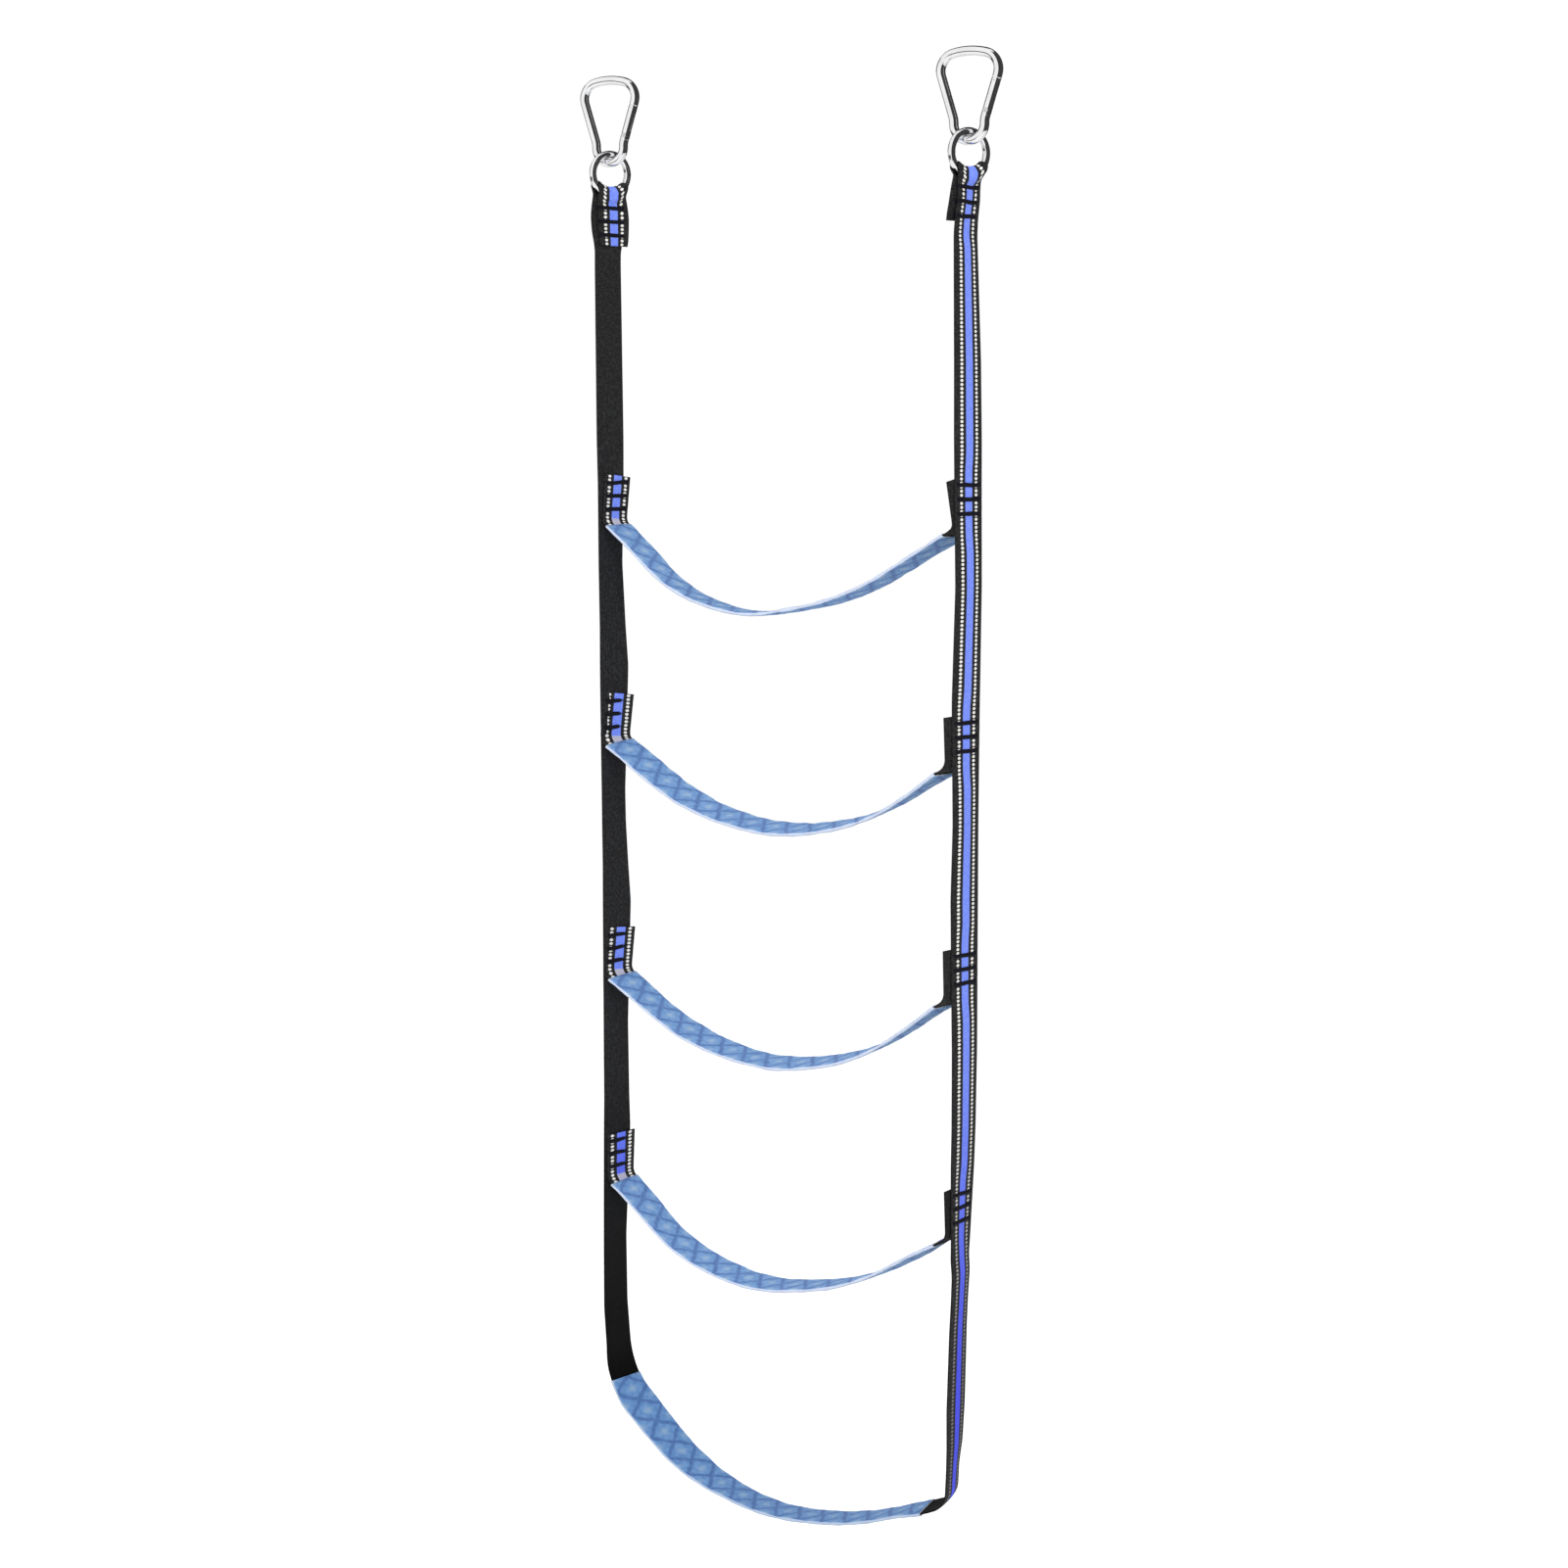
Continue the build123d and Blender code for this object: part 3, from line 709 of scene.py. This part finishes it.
# ---------------------------------------------------------------- materials
class Graph:
    """A shader's nodes, with short calls for the ones that these finishes are made of."""

    def __init__(self, tree):
        self.nodes, self.links = tree.nodes, tree.links

    def put(self, socket, value):
        """Links another socket to this one, or gives it a fixed value."""
        if isinstance(value, bpy.types.NodeSocket):
            self.links.new(value, socket)
        elif socket.type == "RGBA":
            socket.default_value = (*value, 1)
        else:
            socket.default_value = value

    def calc(self, operation, *values):
        node = self.nodes.new("ShaderNodeMath")
        node.operation = operation
        for socket, value in zip(node.inputs, values):
            self.put(socket, value)
        return node.outputs[0]

    def step(self, value, low, high, to_low=0.0, to_high=1.0):
        """Smooth change from to_low to to_high as value goes from low to high."""
        node = self.nodes.new("ShaderNodeMapRange")
        node.interpolation_type = "SMOOTHSTEP"
        for socket, given in zip(node.inputs, (value, low, high, to_low, to_high)):
            self.put(socket, given)
        return node.outputs[0]

    def mix(self, share, first, second, blend="MIX"):
        """The first colour, with that share of the second mixed into it or blended with it."""
        node = self.nodes.new("ShaderNodeMix")
        node.data_type = "RGBA"
        node.blend_type = blend
        # its sockets for colours are these, and the others are for numbers and for vectors
        for number, value in ((0, share), (6, first), (7, second)):
            self.put(node.inputs[number], value)
        return node.outputs[2]

    def layer(self, cover, strength, below, above):
        """The colour below, with the one above over it at cover times strength."""
        return self.mix(self.calc("MULTIPLY", cover, strength), below, above)

    def split(self, vector):
        node = self.nodes.new("ShaderNodeSeparateXYZ")
        self.links.new(vector, node.inputs[0])
        return node.outputs


class Finish(Graph):
    """A material with one principled shader."""

    def __init__(self, name, roughness, metallic=0.0):
        self.material = bpy.data.materials.new(name)
        self.material.use_nodes = True
        super().__init__(self.material.node_tree)
        self.shader = self.nodes["Principled BSDF"]
        self.shader.inputs["Roughness"].default_value = roughness
        self.shader.inputs["Metallic"].default_value = metallic

    def noise(self, scale, detail=3.0, vector=None):
        node = self.nodes.new("ShaderNodeTexNoise")
        node.inputs["Scale"].default_value = scale
        node.inputs["Detail"].default_value = detail
        self.links.new(vector or self.place(), node.inputs["Vector"])
        return node.outputs[0]

    def place(self):
        """The place in the ladder's own frame, in metres."""
        return self.nodes.new("ShaderNodeTexCoord").outputs["Object"]

    def cloth(self):
        """Across and along the cloth, in millimetres, and both as one vector."""
        source = self.nodes.new("ShaderNodeUVMap")
        source.uv_map = "cloth"
        across, along, _ = self.split(source.outputs[0])
        return across, along, source.outputs[0]

    def wave(self, value, pitch):
        """A sine from 0 to 1 that repeats every pitch."""
        turn = self.calc("SINE", self.calc("MULTIPLY", value, 2 * math.pi / pitch))
        return self.calc("MULTIPLY_ADD", turn, 0.5, 0.5)

    def painted_shade_low(self):
        """0 down to the third rung and 1 at the bottom one: painted shade, which makes the colours
        darker towards the bottom.
        """
        return self.step(self.split(self.place())[2], *painted_shade_z, 1.0, 0.0)

    def bump(self, height, strength, distance):
        node = self.nodes.new("ShaderNodeBump")
        node.inputs["Strength"].default_value = strength
        node.inputs["Distance"].default_value = distance
        self.links.new(height, node.inputs["Height"])
        self.links.new(node.outputs[0], self.shader.inputs["Normal"])

    def colour(self, value):
        self.put(self.shader.inputs["Base Color"], value)

    def sheen(self, weight, roughness=0.5):
        self.shader.inputs["Sheen Weight"].default_value = weight
        self.shader.inputs["Sheen Roughness"].default_value = roughness

    def dull(self, level=0.15):
        self.shader.inputs["Specular IOR Level"].default_value = level


# ---- the patterns of the cloths, and the painted shade and highlights on them, in millimetres ----
rib_pitch, rib_width, rib_slope = 2.2, 1.5, 0.12
stripe_edge = (5.5, 6.1)  # from the webbing's middle: the last full blue, and the first black
dot_middle = 12.2
dot_half_width, dot_half_height, dot_half_pitch = 2.35, 1.55, 2.1
# over which the stripe's painted highlight fades in and out
highlight_blur = 1.5
diamond_half_pitch, diamond_slope = 16.0, 0.7
# painted highlight along a sleeve's folded edges
edge_highlight_band = (22.4, 23.2)  # from a sleeve's middle, at its folds
yarn_pitch, hatch_pitch = 0.9, 2.4
# painted shade on the webbing, darker towards the bottom
painted_shade_z = (-1.40, -1.00)  # in metres: all of it below the first, none above the second


def ribs(finish, across, along):
    """Height of the webbing's weave: rows of ribs, broken up across the width."""
    row = finish.wave(finish.calc("MULTIPLY_ADD", across, rib_slope, along), rib_pitch)
    column = finish.wave(across, rib_width)
    return finish.calc("MULTIPLY_ADD", column, 0.4, row)


def black_yarn(finish, weave):
    worn = finish.step(finish.noise(300.0), 0.42, 0.68)
    dark = finish.mix(weave, (0.0035, 0.0035, 0.004), (0.019, 0.019, 0.020))
    return finish.layer(worn, 0.5, dark, (0.040, 0.040, 0.041))


def plain_webbing():
    finish = Finish("webbing_plain", 0.78)
    across, along, _ = finish.cloth()
    weave = ribs(finish, across, along)
    yarn = black_yarn(finish, weave)
    # painted shade: the black is made darker still towards the bottom
    finish.colour(finish.layer(finish.painted_shade_low(), 0.95, yarn, (0.0008, 0.0008, 0.0009)))
    finish.bump(weave, 0.5, 0.0004)
    finish.dull()
    finish.sheen(0.02)
    return finish.material


def striped_webbing(name, spread=1.0, highlight_span=(-2, -1), dot_painted_shade=0.0):
    """The patterned face: black, with a blue stripe between two rows of pale dots, all spread by
    that much. The stripe gets a painted highlight, pale between two places along it, in
    millimetres, which are off the webbing if none are given. Low down the blue and the dots
    get painted shade, the dots darkened by that share."""
    finish = Finish(name, 0.75)
    across, along, both = finish.cloth()
    weave = ribs(finish, across, along)
    away = finish.calc("DIVIDE", finish.calc("ABSOLUTE", across), spread)
    uneven = finish.calc("MULTIPLY_ADD", finish.noise(0.8, vector=both), 0.8, -0.4)
    stripe = finish.step(finish.calc("ADD", away, uneven), *stripe_edge, 1.0, 0.0)
    height = finish.calc("PINGPONG", along, dot_half_pitch)
    tall = finish.calc("DIVIDE", finish.calc("SUBTRACT", dot_half_pitch, height), dot_half_height)
    wide = finish.calc("DIVIDE", finish.calc("SUBTRACT", away, dot_middle), dot_half_width)
    far = finish.calc("ADD", finish.calc("POWER", tall, 2.0), finish.calc("MULTIPLY", wide, wide))
    dot = finish.step(far, 0.75, 1.2, 1.0, 0.0)
    blue = finish.mix(finish.step(finish.noise(0.25, vector=both), 0.3, 0.7),
                      (0.165, 0.26, 0.90), (0.235, 0.325, 0.93))
    # painted shade: the blue is made darker and more purple towards the bottom
    blue = finish.layer(finish.painted_shade_low(), 0.9, blue, (0.045, 0.045, 0.82))
    blue = finish.layer(weave, 0.22, blue, (0.07, 0.12, 0.70))
    # painted highlight: the stripe is made pale between the two places given along it
    start = finish.step(along, highlight_span[0], highlight_span[0] + highlight_blur)
    inside = finish.calc("SUBTRACT", start, finish.step(along, highlight_span[1] - highlight_blur, highlight_span[1]))
    blue = finish.layer(inside, 0.85, blue, (0.50, 0.48, 0.50))
    pale = finish.mix(finish.noise(1.5, vector=both), (0.66, 0.65, 0.62), (0.95, 0.94, 0.91))
    # painted shade: the dots are darkened by that share towards the bottom
    pale = finish.layer(finish.painted_shade_low(), dot_painted_shade, pale, (0.09, 0.07, 0.09))
    finish.colour(finish.mix(dot, finish.mix(stripe, black_yarn(finish, weave), blue), pale))
    finish.bump(finish.calc("MULTIPLY_ADD", dot, 0.9, weave), 0.5, 0.0004)
    finish.put(finish.shader.inputs["Roughness"], finish.step(dot, 0, 1, 0.78, 0.45))
    finish.dull(0.25)
    finish.sheen(0.02)
    return finish.material


def sleeve_cloth(name, shade=(1, 1, 1)):
    """Denim blue, with a soft dark lattice of diamonds that are paler in their middles, and a
    painted highlight along the folded edges. shade is painted shade that darkens the whole."""
    finish = Finish(name, 0.85)
    across, along, both = finish.cloth()
    wander = finish.calc("MULTIPLY_ADD", finish.noise(0.06, 2.0, both), 7.0, -3.5)
    lines, middles = [], []
    for sign in (1.0, -1.0):
        place = finish.calc("MULTIPLY_ADD", across, sign * diamond_slope, along)
        near = finish.calc("PINGPONG", finish.calc("ADD", place, wander), diamond_half_pitch)
        lines.append(finish.step(near, 0.6, 5.0, 1.0, 0.0))
        middles.append(finish.step(near, 7.0, 15.0))
    lattice = finish.calc("MAXIMUM", *lines)
    middle = finish.calc("MULTIPLY", *middles)
    blotch = finish.step(finish.noise(0.15, 3.0, both), 0.3, 0.7)
    ground = finish.mix(blotch, (0.100, 0.250, 0.55), (0.185, 0.36, 0.67))
    dark = finish.mix(blotch, (0.032, 0.105, 0.34), (0.055, 0.15, 0.43))
    cloth = finish.layer(middle, 0.8, ground, (0.33, 0.47, 0.64))
    cloth = finish.layer(lattice, 0.85, cloth, dark)
    # painted highlight: the cloth is made pale along the folded edges
    edge = finish.step(finish.calc("ABSOLUTE", across), *edge_highlight_band)
    cloth = finish.layer(edge, 0.8, cloth, (0.68, 0.72, 0.84))
    hatch = finish.wave(finish.calc("ADD", along, across), hatch_pitch)
    yarn = finish.calc("ADD", finish.wave(across, yarn_pitch), finish.wave(along, yarn_pitch))
    fleck = finish.calc("MULTIPLY", finish.calc("ADD", yarn, hatch), finish.noise(1.1, 4.0, both))
    cloth = finish.layer(fleck, 0.16, cloth, (0.40, 0.52, 0.68))
    finish.colour(finish.mix(1.0, cloth, shade, "MULTIPLY"))
    finish.bump(yarn, 0.35, 0.0003)
    finish.dull(0.2)
    finish.sheen(0.08, 0.4)
    return finish.material


def sleeve_hem():
    finish = Finish("sleeve_hem", 0.85)
    _, _, both = finish.cloth()
    fray = finish.noise(1.2, 5.0, both)
    finish.colour(finish.mix(fray, (0.45, 0.50, 0.60), (0.80, 0.80, 0.80)))
    finish.bump(fray, 0.5, 0.0004)
    return finish.material


def tack_thread():
    finish = Finish("tack_thread", 0.6)
    twist = finish.noise(900.0, 2.0)
    finish.colour(finish.mix(twist, (0.003, 0.003, 0.006), (0.014, 0.013, 0.022)))
    finish.bump(twist, 0.4, 0.0002)
    finish.dull(0.25)
    return finish.material


def steel(name, tone, roughness, grain):
    """Polished or plain steel with faint handling marks."""
    finish = Finish(name, roughness, 1.0)
    cloudy = finish.step(finish.noise(45.0, 4.0), 0.3, 0.7)
    darker = [0.9 * channel for channel in tone]
    finish.colour(finish.mix(cloudy, darker, tone))
    marks = finish.noise(grain, 6.0)
    low, high = 0.7 * roughness, 1.5 * roughness
    finish.put(finish.shader.inputs["Roughness"], finish.step(marks, 0.35, 0.7, low, high))
    finish.bump(marks, 0.04, 0.0001)
    return finish.material


def floor_paint():
    """Pale floor that the camera sees as white, but for the shadow on it."""
    finish = Finish("floor_paint", 0.9)
    speckle = finish.noise(3.0, 2.0)
    finish.colour(finish.mix(speckle, (0.86, 0.86, 0.86), (0.88, 0.88, 0.88)))
    finish.dull(0.0)
    path = finish.nodes.new("ShaderNodeLightPath")
    finish.put(finish.shader.inputs["Emission Color"], (1.0, 1.0, 1.0))
    finish.put(finish.shader.inputs["Emission Strength"],
               finish.calc("MULTIPLY", path.outputs["Is Camera Ray"], 0.4))
    return finish.material


# ---------------------------------------------------------------- camera, light and floor
camera_place = (2.141, -2.801, -0.371)
camera_azimuth, camera_pitch = 37.36, -6.35  # degrees
camera_lens, camera_sensor = 74.72, 36.0  # millimetres
floor_drop = 0.35  # below the ladder's lowest point
floor_reach = 4.0

# Dark screens round the studio that only reflections show: the direction of the middle, the half
# width, the lower and the upper edge, all in degrees, and how dark each is.
screens = (
    (20, 80, -30, 70, 0.96),
    (-172, 18, -30, 30, 0.7),
    (127, 40, 5, 85, 0.98),
    (-127, 40, -28, -7, 0.9),
)
side_blur, edge_blur = 1.5, 2  # degrees to each side


def set_camera():
    data = bpy.data.cameras.new("camera")
    data.lens = camera_lens
    data.sensor_width = camera_sensor
    camera = linked("camera", data)
    azimuth, pitch = math.radians(camera_azimuth), math.radians(camera_pitch)
    look = Vector((-math.sin(azimuth) * math.cos(pitch), math.cos(azimuth) * math.cos(pitch),
                   math.sin(pitch)))
    camera.location = camera_place
    camera.rotation_euler = look.to_track_quat("-Z", "Y").to_euler()
    bpy.context.scene.camera = camera


def add_area(name, place, target, size, power):
    """A square lamp that the steel doesn't mirror."""
    data = bpy.data.lights.new(name, "AREA")
    data.shape = "SQUARE"
    data.size = size
    data.energy = power
    lamp = linked(name, data)
    lamp.location = place
    lamp.rotation_euler = (Vector(target) - Vector(place)).to_track_quat("-Z", "Y").to_euler()
    lamp.visible_glossy = False


def set_world():
    """Even light, white to the camera, and in reflections a white room with the dark screens."""
    world = bpy.data.worlds.new("studio")
    bpy.context.scene.world = world
    world.use_nodes = True
    world.node_tree.nodes.clear()
    graph = Graph(world.node_tree)
    x, y, z = graph.split(graph.nodes.new("ShaderNodeTexCoord").outputs["Generated"])
    level = graph.calc("SQRT", graph.calc("ADD", graph.calc("MULTIPLY", x, x),
                                          graph.calc("MULTIPLY", y, y)))
    shade = 0.0
    for azimuth, half_width, low, high, depth in screens:
        across = graph.calc("ADD", graph.calc("MULTIPLY", x, math.cos(math.radians(azimuth))),
                            graph.calc("MULTIPLY", y, math.sin(math.radians(azimuth))))
        outer, inner = [math.cos(math.radians(half_width + blur)) for blur in (side_blur, -side_blur)]
        screen = graph.step(graph.calc("DIVIDE", across, level), outer, inner, 0.0, depth)
        for edge, blur in ((low, edge_blur), (high, -edge_blur)):
            outer, inner = math.sin(math.radians(edge - blur)), math.sin(math.radians(edge + blur))
            screen = graph.calc("MULTIPLY", screen, graph.step(z, outer, inner))
        shade = graph.calc("MAXIMUM", screen, shade)
    mirrored = graph.mix(shade, (1.0, 1.0, 1.0), (0.01, 0.01, 0.012))

    path = graph.nodes.new("ShaderNodeLightPath")
    clear = graph.calc("MAXIMUM", path.outputs["Is Camera Ray"],
                       path.outputs["Is Transmission Ray"])
    seen = graph.mix(path.outputs["Is Glossy Ray"], (0.75, 0.75, 0.75), mirrored)
    background = graph.nodes.new("ShaderNodeBackground")
    graph.put(background.inputs["Color"], graph.mix(clear, seen, (1.0, 1.0, 1.0)))
    out = graph.nodes.new("ShaderNodeOutputWorld")
    graph.links.new(background.outputs[0], out.inputs[0])


def set_floor():
    level = cad_low.z - floor_drop
    corners = [(x * floor_reach, y * floor_reach, level)
               for x, y in ((-1, -1), (1, -1), (1, 1), (-1, 1))]
    mesh = bpy.data.meshes.new("floor")
    mesh.from_pydata(corners, [], [(0, 1, 2, 3)])
    mesh.materials.append(floor_paint())
    floor = linked("floor", mesh)


# ---------------------------------------------------------------- the whole ladder
set_camera()
set_world()
set_floor()
add_area("key_light", place=(2.6, -2.2, 1.6), target=(0, 0, -0.7), size=2.2, power=85)
add_area("fill_light", place=(-2.8, -2.4, 0.6), target=(0, 0, -0.8), size=2.4, power=45)
bpy.context.scene.view_settings.view_transform = "Standard"

tack_rows = {}
for word in sides:
    tack_rows[f"{word}_loop_tacks"] = loop_bars(word)
    for number in upper_rungs:
        tack_rows[f"{word}_tacks_{number}"] = tab_bars(number, word)
black = tack_thread()
for node, bars in tack_rows.items():
    piece = tack_object(f"{node}_thread", bars, black)
    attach(piece, "ladder")
    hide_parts(node)

plain = plain_webbing()
strap_bars = [one for bars in tack_rows.values() for one in bars]
side_straps = webbing("side_straps", side_strap_grid(), False, strap_bars,
                      [striped_webbing("strap_pattern", dot_painted_shade=0.9), plain])
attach(side_straps, "ladder")
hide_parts("main_strap")

# painted highlight on the stripe where a rung bends out of its left tab
striped = striped_webbing("rung_pattern", spread=1.18, highlight_span=(48, 64))
covered = {}
for number in upper_rungs:
    points = rung_route(number)
    rows = rung_rows(number, points)
    bars = tack_rows[f"left_tacks_{number}"] + tack_rows[f"right_tacks_{number}"]
    rung = webbing(f"rung_webbing_{number}", rows, True, bars, [striped, plain])
    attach(rung, "ladder")
    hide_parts(f"rung_strap_{number}")
    first, last = between(points, [tab_length + setback for setback in sleeve_setbacks])
    covered[number] = rows[first:last + 1]
points = strap_route()
ends = (bottom_corners()[0], bottom_corners()[-1])
hems = [strap_top_z - end[1] + setback for end, setback in zip(ends, bottom_sleeve_setbacks)]
first, last = between(points, hems)
covered[bottom_rung] = strap_rows(points)[first:last + 1]

cloth, hem = sleeve_cloth("sleeve_cloth"), sleeve_hem()
# painted shade: a darker copy of the sleeve cloth for the bottom sleeve
painted_shade_cloth = sleeve_cloth("bottom_sleeve_shaded_cloth", (0.76, 0.82, 0.86))
for number, rows in covered.items():
    fabric = painted_shade_cloth if number == bottom_rung else cloth
    piece, length = sleeve(f"sleeve_{number}", rows, [fabric, hem])
    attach(piece, "ladder")
    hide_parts(f"rung_sleeve_{number}")

finishes = {
    "ring": steel("ring_steel", (0.90, 0.90, 0.91), 0.06, 300.0),
    "hook_body": steel("hook_steel", (0.90, 0.90, 0.91), 0.05, 260.0),
    "gate": steel("gate_steel", (0.90, 0.90, 0.91), 0.06, 340.0),
    "gate_rivet": steel("rivet_steel", (0.66, 0.66, 0.67), 0.28, 500.0),
    "nose_pin": steel("pin_steel", (0.66, 0.66, 0.67), 0.24, 450.0),
    "gate_plunger": steel("plunger_steel", (0.60, 0.60, 0.61), 0.32, 420.0),
    "gate_spring": steel("spring_steel", (0.50, 0.50, 0.51), 0.36, 600.0),
}
for word in sides:
    for ending, material in finishes.items():
        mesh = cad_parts[f"{word}_{ending}"].data
        mesh.materials.clear()
        mesh.materials.append(material)
